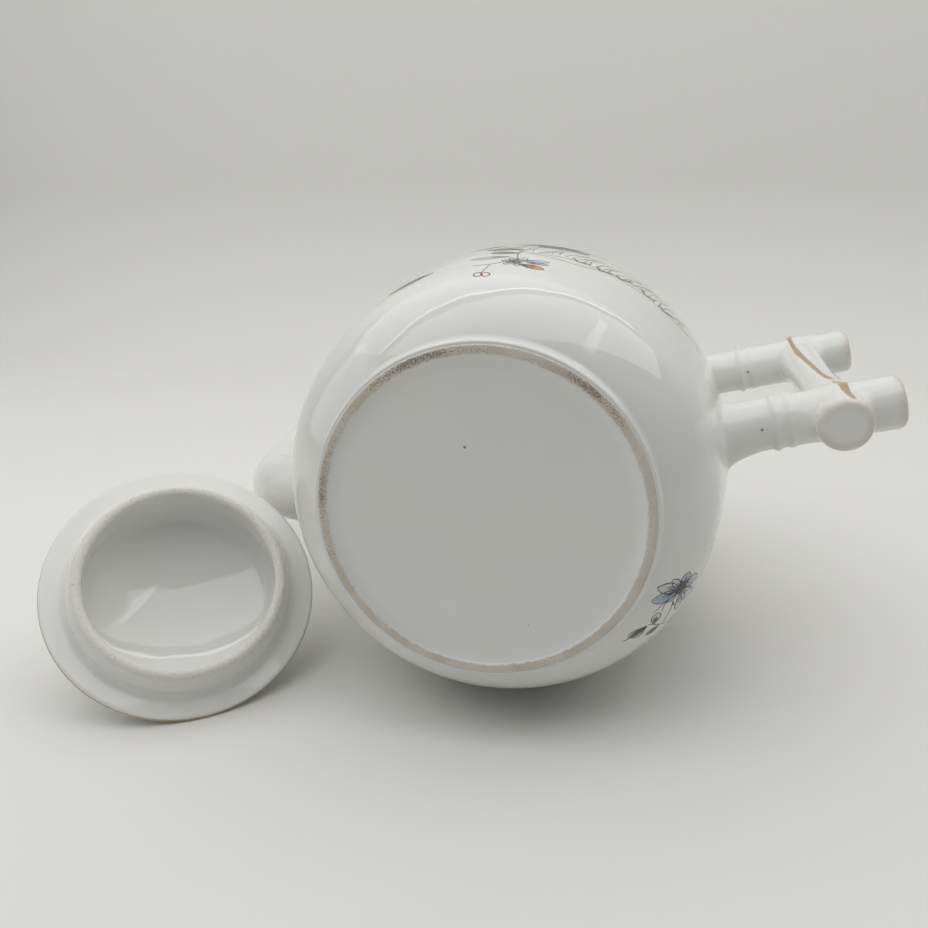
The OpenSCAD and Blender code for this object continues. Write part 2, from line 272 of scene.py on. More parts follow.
def surface(field, low, high, step):
    """Quads over the zero surface of a field, one vertex in each grid cell it crosses."""
    low, high = np.array(low, float), np.array(high, float)
    n = np.ceil((high - low) / step).astype(int) + 1
    axes = [low[i] + step * np.arange(n[i]) for i in range(3)]
    grid = np.stack(np.meshgrid(*axes, indexing="ij"), -1).reshape(-1, 3)
    values = np.concatenate([field(part) for part in np.array_split(grid, 16)]).reshape(n)
    inside = values < 0
    # each cell's vertex: the mean of the places where its twelve edges cross the surface
    total, count = np.zeros((*(n - 1), 3)), np.zeros(n - 1)
    for axis in range(3):
        u, v = [i for i in range(3) if i != axis]
        for du, dv in ((0, 0), (0, 1), (1, 0), (1, 1)):
            at = np.zeros(3, int)
            at[u], at[v] = du, dv
            a, b = (tuple(slice(k, k + n[i] - 1) for i, k in enumerate(corner))
                    for corner in (at, at + np.eye(3, dtype=int)[axis]))
            cross = inside[a] != inside[b]
            t = np.where(cross, values[a] / np.where(cross, values[a] - values[b], 1), 0)
            total += np.where(cross[..., None], at + t[..., None] * np.eye(3)[axis], 0)
            count += cross
    active = count > 0
    index = -np.ones(n - 1, int)
    index[active] = np.arange(active.sum())
    verts = (total[active] / count[active][:, None] + np.argwhere(active)) * step + low
    # a quad across each grid edge that crosses it, facing out
    quads = []
    for axis in range(3):
        u, v = [i for i in range(3) if i != axis]
        a = [slice(1, k - 1) for k in n]
        b = list(a)
        a[axis], b[axis] = slice(0, n[axis] - 1), slice(1, n[axis])
        a, b = tuple(a), tuple(b)
        cross = inside[a] != inside[b]
        cell = np.argwhere(cross)
        cell[:, (u, v)] += 1
        corners = []
        for du, dv in ((0, 0), (1, 0), (1, 1), (0, 1)):
            c = cell.copy()
            c[:, u] -= du
            c[:, v] -= dv
            corners.append(index[tuple(c.T)])
        quad = np.stack(corners, 1)
        turn = inside[a][cross] == (axis != 1)
        quad[~turn] = quad[~turn][:, ::-1]
        quads.append(quad)
    return verts, np.concatenate(quads)


def keep_faces(quads, chosen, *rows):
    """The chosen faces, and what they use of each row of vertex data."""
    used, quads = np.unique(quads[chosen], return_inverse=True)
    return quads.reshape(-1, 4), *(row[used] for row in rows)


def skirted(field, carrier, low, high, step, tuck=0.04):
    """Surface of a field, less what lies in its carrier. Its edge dips under the carrier's skin."""
    verts, quads = surface(field, low, high, step)
    verts = settle(field, verts)
    out = carrier(verts)
    quads, verts, out = keep_faces(quads, (out[quads] > tuck).any(1), verts, out)
    normals = slope(field, verts)
    low_rim = out < tuck
    verts[low_rim] -= ((out + tuck)[:, None] * slope(carrier, verts))[low_rim]
    return verts, quads, normals


# --- materials ---
class Nodes:
    """Short hand for building a node material. Lengths in it are in mm of "loc"."""

    def __init__(self, name):
        self.mat = bpy.data.materials.new(name)
        self.mat.use_nodes = True
        self.tree = self.mat.node_tree
        self.bsdf = self.tree.nodes["Principled BSDF"]

    def feed(self, node, inputs):
        """Sets a node's sockets to numbers or colours, or links other sockets to them."""
        for key, value in inputs.items():
            socket = node.inputs[key]
            if isinstance(value, bpy.types.NodeSocket):
                self.tree.links.new(value, socket)
            elif value is not None:
                is_colour = isinstance(value, tuple) and socket.type == "RGBA"
                socket.default_value = (*value, 1) if is_colour else value

    def add(self, kind, inputs=None, **settings):
        node = self.tree.nodes.new(kind)
        for key, value in settings.items():
            setattr(node, key, value)
        self.feed(node, inputs or {})
        return node

    def finish(self, colour, rough, ior=1.5, normal=None):
        self.feed(self.bsdf, {"Base Color": colour, "Roughness": rough, "IOR": ior, "Normal": normal})
        return self.mat

    def attribute(self, name, output="Fac"):
        return self.add("ShaderNodeAttribute", attribute_name=name).outputs[output]

    def noise(self, scale, detail=2.0, rough=0.5, offset=0.0):
        where = self.attribute("loc", "Vector")
        if offset:
            moved = {"Location": (offset,) * 3, "Vector": where}
            where = self.add("ShaderNodeMapping", moved).outputs["Vector"]
        inputs = {"Vector": where, "Scale": scale, "Detail": detail, "Roughness": rough}
        return self.add("ShaderNodeTexNoise", inputs).outputs["Fac"]

    def ramp(self, value, low, high, to_low=0.0, to_high=1.0):
        inputs = {"Value": value, "From Min": low, "From Max": high, "To Min": to_low, "To Max": to_high}
        node = self.add("ShaderNodeMapRange", inputs, interpolation_type="SMOOTHSTEP")
        return node.outputs["Result"]

    def math(self, op, a, b):
        return self.add("ShaderNodeMath", {0: a, 1: b}, operation=op).outputs["Value"]

    def times(self, a, b):
        return self.math("MULTIPLY", a, b)

    def plus(self, a, b):
        return self.math("ADD", a, b)

    def mix(self, fac, a, b):
        """A colour between two. The colour sockets of the node are 6, 7 and, out of it, 2."""
        return self.add("ShaderNodeMix", {0: fac, 6: a, 7: b}, data_type="RGBA").outputs[2]

    def bump(self, height, distance, after=None):
        inputs = {"Height": height, "Distance": distance, "Normal": after}
        return self.add("ShaderNodeBump", inputs).outputs["Normal"]


GLAZE, GLAZE_COOL, THIN_GLAZE = (0.80, 0.795, 0.765), (0.785, 0.79, 0.77), (0.66, 0.57, 0.48)
GLAZE_ROUGH, GLAZE_IOR, CLAY_ROUGH = 0.045, 1.52, 0.8
CLAY, CLAY_WARM, CLAY_DIRT = (0.69, 0.645, 0.575), (0.62, 0.555, 0.475), (0.12, 0.085, 0.06)
COLLAR_CLAY = (0.79, 0.765, 0.72)
GILT, GILT_WORN = (0.56, 0.42, 0.24), (0.42, 0.31, 0.18)
GILT_METAL, GILT_ROUGHER = 0.35, 0.25
SPECK, SPECK_DEPTH, FINE_SPECK_DEPTH = (0.10, 0.085, 0.07), 0.85, 0.55
WAVER, PEEL, GRIT = 0.22 * MM, 0.0035 * MM, 0.12 * MM  # heights of the bumps


def glaze_bump(m):
    """The slow waver and fine peel of a fired glaze."""
    wave = m.bump(m.noise(0.085, detail=1.0), WAVER)
    return m.bump(m.noise(0.9, offset=9.0), PEEL, after=wave)


def glaze_colour(m, specks):
    """White with a slow tint, a few fine kiln specks, and the larger ones: (x, y, z, radius) in mm."""
    tint = m.mix(m.ramp(m.noise(0.03), 0.35, 0.65), GLAZE, GLAZE_COOL)
    dots = m.add("ShaderNodeTexVoronoi", {"Vector": m.attribute("loc", "Vector"), "Scale": 0.075})
    near = m.ramp(dots.outputs["Distance"], 0.014, 0.022, 1.0, 0.0)
    few = m.math("GREATER_THAN", m.noise(0.11, detail=0.0, offset=31.0), 0.56)
    colour = m.mix(m.times(m.times(near, few), FINE_SPECK_DEPTH), tint, SPECK)
    for *centre, r in specks:
        ends = {0: m.attribute("loc", "Vector"), 1: tuple(centre)}
        gap = m.add("ShaderNodeVectorMath", ends, operation="DISTANCE")
        dot = m.ramp(gap.outputs["Value"], r * 0.7, r * 1.3, SPECK_DEPTH, 0.0)
        colour = m.mix(dot, colour, SPECK)
    return colour


def warm_ends(m, colour):
    """The glaze runs thin where "warm" says."""
    patchy = m.ramp(m.noise(0.25, offset=41.0), 0.35, 0.65, 0.25, 0.6)
    return m.mix(m.times(m.attribute("warm"), patchy), colour, THIN_GLAZE)


def bare_clay(m, colour, normal, pale, warm):
    """Unglazed clay where "bare" says, with dark grains where "dirt" says."""
    frayed = m.ramp(m.noise(0.8, 3.0, 0.6), 0.2, 0.8, -0.3, 0.3)
    mask = m.ramp(m.plus(m.attribute("bare"), frayed), 0.42, 0.62)
    grit = m.noise(3.2, 4.0, 0.7)
    clay = m.mix(m.ramp(m.noise(0.12, offset=5.0), 0.35, 0.65), pale, warm)
    patchy = m.ramp(m.noise(0.13), 0.4, 0.6, 0.65, 1.1)
    much = m.times(m.times(m.attribute("dirt"), patchy), 0.185)
    grains = m.ramp(m.plus(m.noise(2.3, 4.0, 0.72, offset=3.0), much), 0.60, 0.72)
    colour = m.mix(mask, colour, m.mix(m.times(grains, 0.75), clay, CLAY_DIRT))
    rough = m.ramp(mask, 0.0, 1.0, GLAZE_ROUGH, CLAY_ROUGH)
    return colour, rough, m.bump(m.times(grit, mask), GRIT, after=normal)


def gilded(m, colour, rough, ragged):
    """Thin worn gilding. "gold" is the distance (mm) inside its edge, which is ragged by so many mm."""
    frayed = m.ramp(m.noise(1.1, 4.0, 0.6, offset=7.0), 0.25, 0.75, -ragged, ragged * 0.5)
    inside = m.ramp(m.plus(m.attribute("gold"), frayed), -0.06, 0.06)
    mask = m.times(inside, m.ramp(m.noise(1.6, 3.0, 0.7, offset=17.0), 0.3, 0.4, 0.45))
    colour = m.mix(mask, colour, m.mix(m.noise(1.2, 3.0), GILT, GILT_WORN))
    m.feed(m.bsdf, {"Metallic": m.times(mask, GILT_METAL)})
    return colour, m.plus(m.times(mask, GILT_ROUGHER), rough)


def glazed(name, specks=(), warm=False, clay=None, gold_ragged=None):
    """White glaze. On request it has thin warm ends, bare clay of two tints, and gilding."""
    m = Nodes(name)
    colour, rough, normal = glaze_colour(m, specks), GLAZE_ROUGH, glaze_bump(m)
    if warm:
        colour = warm_ends(m, colour)
    if clay:
        colour, rough, normal = bare_clay(m, colour, normal, *clay)
    if gold_ragged:
        colour, rough = gilded(m, colour, rough, gold_ragged)
    return m.finish(colour, rough, GLAZE_IOR, normal)


# --- the pot ---
POT_AROUND = 288
FOOT_CROWN, CROWN_POWER = 0.28, 0.8  # how far the bare ring's edges stand back
BASE_DOME_R, BASE_FLAT_R, BASE_ROUND_POWER = 36.0, 35.6, 2.2
# the rounded bead of glaze outside the bare ring: (radius, height)
FOOT_BEAD = [(42.25, 0.34), (42.4, 0.46), (42.55, 0.44), (42.75, 0.42), (42.98, 0.5), (43.15, 0.68),
             (43.28, 0.86)]
MOUTH_EDGE_R = 0.6
BARE_IN, BARE_OUT, BARE_TOP = 40.0, 42.2, 0.9  # where the clay is bare: radii and height
BARE_IN_SOFT, BARE_OUT_SOFT = 1.2, 0.3  # widths over which the glaze sets in
# dark stretches of the ring: (middle, half width) in degrees
FOOT_DIRT = ((200, 34), (259, 30), (322, 18))
DIRT_R, DIRT_HALF, DIRT_LEAST = 41.2, 1.1, 0.12
BASE_SPECKS = ((-0.7, -17.4, 2.0, 0.35),)
PLATE_MARGIN, HOLE_SIDES = 1.2, 20
PLATE_HALF = STRAINER_PITCH * STRAINER_RINGS + STRAINER_HOLE_R + PLATE_MARGIN


def pot_profile():
    """Side view from the middle of the base, under the foot, up the skin and down the inside."""
    base = [(0, BASE_DEPTH + BASE_RISE)]
    base += [(r, BASE_DEPTH + BASE_RISE * (1 - (r / BASE_DOME_R) ** 2)) for r in np.linspace(3, 35, 22)]
    rounded = FOOT_IN - BASE_FLAT_R
    fillet = [(BASE_FLAT_R + s * rounded, BASE_DEPTH - (BASE_DEPTH - FOOT_CROWN) * s ** BASE_ROUND_POWER)
              for s in np.linspace(0, 1, 12)]
    ring = [(FOOT_R + FOOT_W / 2 * math.sin(a), FOOT_CROWN * (1 - math.cos(a) ** CROWN_POWER))
            for a in np.linspace(-QUARTER, QUARTER, 15)[1:-1]]
    lip = arc(NECK_R - END_R, POT_H - END_R, END_R, 0, QUARTER, 10)
    mouth = arc(MOUTH_R + MOUTH_EDGE_R, POT_H - MOUTH_EDGE_R, MOUTH_EDGE_R, QUARTER, HALF_TURN, 6)
    skin = base + fillet + ring + FOOT_BEAD + OUTER
    return clean(skin + lip + mouth + INNER[::-1] + [(0, INNER_FLOOR_Z)], 0.05)


def pot_shell():
    line = pot_profile()
    mouth_row = max(range(len(line)), key=lambda i: line[i][1])
    back = POT_AROUND // 2
    reach = math.ceil(PLATE_HALF / BELLY_R / (FULL_TURN / POT_AROUND))
    cols = range(back - reach, back + reach)

    def in_window(i):
        low, high = sorted((line[i][1], line[i + 1][1]))
        return STRAINER_Z - PLATE_HALF <= low and high <= STRAINER_Z + PLATE_HALF

    out_rows = [i for i in range(mouth_row) if in_window(i)]
    in_rows = [i for i in range(mouth_row, len(line) - 1) if in_window(i)]
    cut = set(out_rows + in_rows)
    verts, faces = lathe(line, POT_AROUND, lambda i, j: i in cut and j in cols)
    strainer_plate(verts, faces, line, out_rows, in_rows, cols)
    x, y, z = np.array(verts).T
    r = np.hypot(x, y)
    bare = np.minimum((BARE_OUT - r) / BARE_OUT_SOFT, (r - BARE_IN) / BARE_IN_SOFT)
    bare = np.clip(0.5 + bare, 0, 1) * (z < BARE_TOP)
    angle = np.degrees(np.arctan2(y, x)) % 360
    dirt = np.max([np.clip(1.2 - np.abs(angle - mid) / half, 0, 1) for mid, half in FOOT_DIRT], axis=0)
    dirt = DIRT_LEAST + (1 - DIRT_LEAST) * dirt * np.clip(1.3 - np.abs(r - DIRT_R) / DIRT_HALF, 0, 1)
    mat = glazed("porcelain_pot", BASE_SPECKS, clay=(CLAY, CLAY_WARM))
    piece = make_piece("pot_shell", verts, faces, mat, "pot", extra={"bare": bare, "dirt": dirt})
    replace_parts(piece, "pot_body")


def strainer_plate(verts, faces, line, out_rows, in_rows, cols):
    """Fills the two windows in the wall with a plate pierced by the strainer's holes."""
    holes = [(ring * STRAINER_PITCH * math.sin(a), STRAINER_Z + ring * STRAINER_PITCH * math.cos(a))
             for ring in range(STRAINER_RINGS + 1) for a in circle(max(1, ring * 6))]
    step = FULL_TURN / POT_AROUND
    angles = [j * step for j in (*cols, cols[-1] + 1)]
    hole_rims = []
    for rows in (out_rows, in_rows):
        radius = {z: r for i in rows for r, z in line[i:i + 2]}
        zs = sorted(radius)
        rs = [radius[z] for z in zs]
        edge = [(a, zs[0]) for a in angles] + [(angles[-1], z) for z in zs[1:]]
        edge += [(a, zs[-1]) for a in angles[-2::-1]] + [(angles[0], z) for z in zs[-2:0:-1]]
        wall_r = float(np.interp(STRAINER_Z, zs, rs))
        points = [Vector((wall_r * (a - HALF_TURN), z)) for a, z in edge]
        edges = [(k, (k + 1) % len(points)) for k in range(len(points))]
        rims = []
        for y, z in holes:
            first = len(points)
            points += [Vector((y + STRAINER_HOLE_R * math.cos(a), z + STRAINER_HOLE_R * math.sin(a)))
                       for a in circle(HOLE_SIDES)]
            edges += [(first + k, first + (k + 1) % HOLE_SIDES) for k in range(HOLE_SIDES)]
            rims.append(range(first, first + HOLE_SIDES))
        flat, _, triangles, origins, _, _ = delaunay_2d_cdt(points, edges, [], 0, 1e-5)
        first = len(verts)
        for p in flat:
            r, a = float(np.interp(p.y, zs, rs)), HALF_TURN + p.x / wall_r
            verts.append((r * math.cos(a), r * math.sin(a), p.y))
        for triangle in triangles:
            x, y = sum((flat[k] for k in triangle), Vector((0, 0))) / len(triangle)
            in_hole = any(math.hypot(x - hx, y - hy) < STRAINER_HOLE_R * 0.97 for hx, hy in holes)
            in_plate = zs[0] < y < zs[-1] and angles[0] < HALF_TURN + x / wall_r < angles[-1]
            if in_plate and not in_hole:
                face = [first + k for k in triangle]
                faces.append(face if rows is out_rows else face[::-1])
        place = {old: first + k for k, olds in enumerate(origins) for old in olds}
        hole_rims.append([[place[k] for k in rim] for rim in rims])
    for a, b in zip(*hole_rims):
        for k in range(HOLE_SIDES):
            j = (k + 1) % HOLE_SIDES
            faces.append([a[k], b[k], b[j], a[j]])


# --- handle: three sticks, run together where they meet ---
JOIN_STICKS, JOIN_WALL, CUT_ROUND = 4.5, 3.6, 2.4
NODE_RISES, NODE_W, NODE_SPLIT, KNOB_NODE_UP = (0.72, 0.42), 1.9, 3.7, 11.0
NODE_X = {ARM_LOW_Z: 75.0, ARM_HIGH_Z: 71.6}
FLARE_RUN, FLARE_SAG, FLARE_GROW, FLARE_POWER = 11.0, 1.15, 1.5, 1.8
ARM_START = 40.0
GRIP_LOW, GRIP_HIGH = ARM_LOW_Z - GRIP_PAST, ARM_HIGH_Z + GRIP_PAST_TOP
HANDLE_STEP, HANDLE_BOX = 0.62, ((44, -18, 24), (114, 18, 158))
HANDLE_SPECKS = ((71.8, -0.1, 118.8, 0.4), (69.4, -0.4, 36.8, 0.35), (82.7, -3.1, 31.3, 0.4))
# gilding down the front of the grip: (height, angle round the grip in degrees, half width), in strokes
GRIP_GOLD = (
    ((133.0, -101.5, 0.75), (130.1, -103, 1.15), (125.5, -104, 0.75), (113, -105.5, 0.7), (106.4, -106, 1.0),
     (95, -100.5, 0.72), (86.2, -96, 0.75), (64.9, -88, 0.7), (58.7, -81, 1.05), (56.6, -78.5, 0.8)),
    ((52.6, -75.5, 0.75), (46, -74, 1.2), (40, -73, 1.15), (30.5, -68, 0.9)))
NO_GOLD = -9.0  # far outside the gilding
WARM_REACH = 2.0  # how far (mm) the thin glaze fades away from a rim


def stick(along, off, r, half, rounded=CUT_ROUND):
    """A round stick's distance field. along runs from its middle, off is the distance to its axis."""
    dx, dy = off - (r - rounded), np.abs(along) - (half - rounded)
    return np.minimum(np.maximum(dx, dy), 0) + np.hypot(np.maximum(dx, 0), np.maximum(dy, 0)) - rounded


def node_rings(x, at):
    """The two unequal swellings of a bamboo node."""
    return sum(rise * np.exp(-((x - at - s * NODE_SPLIT / 2) / (NODE_W / 2)) ** 2)
               for rise, s in zip(NODE_RISES, (-1, 1)))


def arm_field(p, z):
    """An arm. It swells and sags a little where it runs into the wall."""
    x = p[:, 0]
    root = np.clip((np.interp(z, SKIN_Z, SKIN_R) + FLARE_RUN - x) / FLARE_RUN, 0, 1) ** FLARE_POWER
    r = STICK_R + node_rings(x, NODE_X[z]) + FLARE_GROW * root
    off = np.hypot(p[:, 1] - FLARE_SAG * root, p[:, 2] - z)
    return stick(x - (ARM_START + ARM_END) / 2, off, r, (ARM_END - ARM_START) / 2)


def grip_field(p):
    mid, half = (GRIP_LOW + GRIP_HIGH) / 2, (GRIP_HIGH - GRIP_LOW) / 2
    s = np.clip((p[:, 2] - mid) / half, -1, 1)
    r = STICK_R - GRIP_WAIST * np.cos(QUARTER * s) ** 2
    return stick(p[:, 2] - mid, np.hypot(p[:, 0] - GRIP_X, p[:, 1]), r, half)


def gilding(verts):
    """How far (mm) each point lies inside the edge of the gilded strokes."""
    x, y, z = verts.T
    at = np.stack([z, np.arctan2(y, x - GRIP_X) * STICK_R], 1)
    wider = np.hypot(x - GRIP_X, y) / STICK_R
    inside = np.full(len(verts), NO_GOLD)
    for line in GRIP_GOLD:
        for (z0, a0, w0), (z1, a1, w1) in zip(line, line[1:]):
            p, q = (np.array([z, math.radians(a) * STICK_R]) for z, a in ((z0, a0), (z1, a1)))
            t = np.clip(((at - p) @ (q - p)) / ((q - p) @ (q - p)), 0, 1)
            dz, du = (at - p - t[:, None] * (q - p)).T
            inside = np.maximum(inside, w0 + (w1 - w0) * t - np.hypot(dz, du * wider))
    return np.where(wider > 1.4, NO_GOLD, inside)


def end_tint(verts):
    """1 round the rims of the cut ends, where the glaze runs thin and the clay shows warm."""
    x, y, z = verts.T
    rims = [np.hypot(x - ARM_END, np.hypot(y, z - arm_z) - STICK_R) for arm_z in (ARM_LOW_Z, ARM_HIGH_Z)]
    rims += [np.hypot(z - end, np.hypot(x - GRIP_X, y) - STICK_R) for end in (GRIP_LOW, GRIP_HIGH)]
    return np.clip(1.5 - np.min(rims, axis=0) / WARM_REACH, 0, 1)


def stick_fields(p):
    return arm_field(p, ARM_LOW_Z), arm_field(p, ARM_HIGH_Z), grip_field(p)


def handle_field(p):
    low, high, grip = stick_fields(p)
    return smooth_min(smooth_min(np.minimum(low, high), grip, JOIN_STICKS), skin_distance(p), JOIN_WALL)


def make_handle():
    verts, quads, normals = skirted(handle_field, skin_distance, *HANDLE_BOX, HANDLE_STEP)
    nearest = np.argmin(stick_fields(verts[quads].mean(1)), axis=0)
    mat = glazed("porcelain_handle", HANDLE_SPECKS, warm=True, gold_ragged=0.22)
    sticks = (("arm_lower", "handle_lower_arm"), ("arm_upper", "handle_upper_arm"), ("grip", "handle_grip"))
    for i, (name, node) in enumerate(sticks):
        q, v, n = keep_faces(quads, nearest == i, verts, normals)
        looks = {"gold": gilding(v), "warm": end_tint(v)}
        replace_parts(make_piece(name, v, q.tolist(), mat, "pot", n, looks), node)


# --- spout ---
JOIN_SPOUT = 12.0
SPOUT_STEP, SPOUT_BOX = 0.7, ((-116, -22, 26), (-46, 22, 153))
SPOUT_LIP_RUN, SPOUT_LIP_SWELL = 0.12, 0.5  # share of the line, and mm
SPOUT_TRIES = np.linspace(0, 1, 161)
SPOUT_BATCH = 20000  # points worked at once, which keeps the memory small


def bezier(points, t):
    """The curve with these control points, at each t from 0 to 1."""
    s, t, n = 1 - t[:, None], t[:, None], len(points) - 1
    return sum(math.comb(n, k) * s ** (n - k) * t ** k * p for k, p in enumerate(points))


def spout_radius(t):
    swell = SPOUT_LIP_SWELL * np.cos(QUARTER * (t - 1) / SPOUT_LIP_RUN) ** 2
    lip = np.where(1 - t < SPOUT_LIP_RUN, swell, 0)
    return SPOUT_TIP_R + (SPOUT_ROOT_R - SPOUT_TIP_R) * (1 + np.cos(math.pi * t ** SPOUT_TAPER)) / 2 + lip


def spout_nearest(p):
    """Place along the spout's middle line, distance from that line, and distance past its end."""
    flat = np.stack([-p[:, 0], p[:, 2]], 1)
    line, rate = bezier(SPOUT_LINE, SPOUT_TRIES), 3 * np.diff(SPOUT_LINE, axis=0)
    t = np.empty(len(p))
    for part in np.array_split(np.arange(len(p)), max(1, len(p) // SPOUT_BATCH)):
        d = ((flat[part][:, None] - line[None]) ** 2).sum(2)
        t[part] = SPOUT_TRIES[d.argmin(1)]
    for _ in range(3):
        c, v = bezier(SPOUT_LINE, t), bezier(rate, t)
        t = np.clip(t + ((flat - c) * v).sum(1) / (v * v).sum(1), 0, 1)
    away, way = flat - bezier(SPOUT_LINE, t), unit(bezier(rate, t))
    past = np.where(t >= 1, (away * way).sum(1), 0).clip(0)
    off2 = (away ** 2).sum(1) + p[:, 1] ** 2
    return t, np.sqrt(np.maximum(off2 - past ** 2, 0)), past


def spout_field(p):
    t, off, past = spout_nearest(p)
    r, half = spout_radius(t), SPOUT_WALL / 2
    tube = np.where(past > 0, np.hypot(off - (r - half), past) - half, off - r)
    outer = smooth_min(tube, skin_distance(p), JOIN_SPOUT)
    bore = np.where(past > half, -99, r - SPOUT_WALL - off)
    return np.maximum(outer, bore)


def make_spout():
    verts, quads, normals = skirted(spout_field, skin_distance, *SPOUT_BOX, SPOUT_STEP)
    piece = make_piece("spout_glazed", verts, quads.tolist(), glazed("porcelain_spout"), "pot", normals)
    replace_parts(piece, "spout")


# --- painted sprays: thin closed pieces of paint, a few hundredths of a mm proud of the glaze ---
RUN = np.concatenate([[0.0], np.cumsum(np.hypot(np.diff(SKIN_R), np.diff(SKIN_Z)))])
SINK = -0.05  # the paint's underside lies this far (mm) inside the skin
SKIN_STEP = 0.4  # half the stretch (mm) over which the skin's direction is taken
# angle (degrees), run up the side view (mm) and radius (mm) at each spray's anchor
SIDE_SPRAY, TOP_SPRAY = (34.6, 11.5, 52.1), (-73.9, 33.2, 58.9)


def on_skin(spray, uv, lift):
    """Points u mm round and v mm up from a spray's anchor, and the skin's direction there."""
    angle, start, radius = spray
    u, v = np.asarray(uv, float).T
    a = math.radians(angle) + u / radius
    (r, z), (r1, z1), (r0, z0) = ([np.interp(start + v + off, RUN, row) for row in (SKIN_R, SKIN_Z)]
                                  for off in (0, SKIN_STEP, -SKIN_STEP))
    out = unit(np.stack([(z1 - z0) * np.cos(a), (z1 - z0) * np.sin(a), r0 - r1], 1))
    return np.stack([r * np.cos(a), r * np.sin(a), z], 1) + out * lift[:, None], out


def curve(points, steps):
    """A smooth line through the points given."""
    p = np.asarray(points, float)
    p = np.vstack([2 * p[0] - p[1], p, 2 * p[-1] - p[-2]])
    t = np.linspace(0, 1, steps, endpoint=False)[:, None]
    parts = [b + ((c - a) * t + (2 * a - 5 * b + 4 * c - d) * t ** 2 + (3 * b - a - 3 * c + d) * t ** 3) / 2
             for a, b, c, d in zip(p, p[1:], p[2:], p[3:])]
    return np.vstack(parts + [p[-2:-1]])


def sideways(way):
    """A quarter turn to the left."""
    return np.stack([-way[..., 1], way[..., 0]], -1)


class Paint:
    """All the strokes and patches of one colour."""

    def __init__(self, name, lift, material):
        self.name, self.lift, self.material = name, lift, material
        self.rows, self.faces, self.count = [], [], 0

    def put(self, spray, uv, lift, along, across):
        """Adds vertices and gives the number of the first one."""
        self.rows.append((*on_skin(spray, uv, lift), along, across))
        self.count += len(uv)
        return self.count - len(uv)

    def stroke(self, spray, points, width, taper=0.35, steps=7):
        """A line of paint, thinner towards both ends."""
        p = curve(points, steps)
        t = np.linspace(0, 1, len(p))
        half = width / 2 * (taper + (1 - taper) * np.sin(math.pi * np.clip(t, 0.02, 0.98)) ** 0.6)
        side = sideways(unit(np.gradient(p, axis=0))) * half[:, None]
        n, shares = len(p), (-1, -0.8, 0.8, 1)
        uv = np.vstack([p + side * share for share in shares])
        lift = np.repeat([SINK, self.lift, self.lift, SINK], n)
        first = self.put(spray, uv, lift, np.tile(t, 4), np.repeat(shares, n))
        for i in range(first, first + n - 1):
            for a, b in ((0, n), (n, 2 * n), (2 * n, 3 * n), (3 * n, 0)):
                self.faces.append([a + i + 1, b + i + 1, b + i, a + i])
        end = [first + k * n for k in range(4)]
        self.faces += [end[::-1], [k + n - 1 for k in end]]

    def patch(self, spray, outline, along, across):
        """A filled shape, in rings that follow the skin."""
        x, y = outline.T
        if (x * np.roll(y, -1) - np.roll(x, -1) * y).sum() < 0:
            outline, along, across = outline[::-1], along[::-1], across[::-1]
        middle, n = outline.mean(0), len(outline)
        scales = (1.0, 0.97, 0.65, 0.32)
        uv = np.vstack([middle + (outline - middle) * k for k in scales] + [middle, middle])
        lift = np.concatenate([np.full(n, SINK), np.full(3 * n, self.lift), [self.lift, SINK]])
        along = np.concatenate([0.5 + (along - 0.5) * k for k in scales] + [[0.5, 0.5]])
        across = np.concatenate([across * k for k in scales] + [[0.0, 0.0]])
        first = self.put(spray, uv, lift, along, across)
        top, low = first + 4 * n, first + 4 * n + 1
        for i in range(first, first + n):
            j = i + 1 if i + 1 < first + n else first
            self.faces += [[a + i, a + j, a + n + j, a + n + i] for a in (0, n, 2 * n)]
            self.faces += [[3 * n + i, 3 * n + j, top], [j, i, low]]

    def build(self):
        verts, normals, along, across = (np.concatenate(row) for row in zip(*self.rows))
        extra = {"along": along, "across": across}
        make_piece(self.name, verts, self.faces, self.material, "pot", normals, extra)


PAINT_ROUGH, FIBRE_SCALE, WASH = 0.12, 1.7, 30.0
FIBRE_ACROSS, FIBRE_ALONG = 1.6, 0.5


def paint(name, light, dark, streak=0.5):
    """Glossy overglaze paint: darker towards the root of each petal, in streaks along it."""
    m = Nodes(name)
    where = m.add("ShaderNodeCombineXYZ", {"X": m.times(m.attribute("across"), FIBRE_ACROSS),
                                           "Y": m.times(m.attribute("along"), FIBRE_ALONG),
                                           "Z": m.times(m.noise(0.05, detail=0.0), WASH)})
    fibre = m.add("ShaderNodeTexNoise", {"Vector": where.outputs["Vector"], "Scale": FIBRE_SCALE})
    root = m.ramp(m.attribute("along"), 0.05, 0.95, 0.22, -0.20)
    more = streak * 0.2
    amount = m.ramp(m.plus(fibre.outputs["Fac"], root), 0.60 - more, 0.72 - more)
    return m.finish(m.mix(amount, light, dark), PAINT_ROUGH, GLAZE_IOR)


# each colour's piece, how far (mm) it stands proud, and its paint: light and dark tint, and streaks
COLOURS = [Paint("spray_" + piece, lift, paint("paint_" + kind, *tints)) for piece, lift, kind, *tints in (
    ("outlines", 0.040, "line", (0.045, 0.048, 0.06), (0.02, 0.022, 0.03)),
    ("blue_petals", 0.018, "blue", (0.44, 0.50, 0.56), (0.045, 0.085, 0.22)),
    ("pale_petals", 0.016, "pale", (0.62, 0.63, 0.64), (0.28, 0.30, 0.34)),
    ("leaves", 0.026, "leaf", (0.19, 0.20, 0.145), (0.03, 0.034, 0.02), 0.9),
    ("rust", 0.030, "rust", (0.27, 0.10, 0.06), (0.13, 0.04, 0.03)),
    ("green", 0.028, "green", (0.30, 0.34, 0.22), (0.14, 0.17, 0.10)),
    ("orange", 0.022, "orange", (0.62, 0.27, 0.09), (0.25, 0.08, 0.03)),
    ("stems", 0.034, "stem", (0.20, 0.20, 0.15), (0.12, 0.08, 0.05), 0.4))]
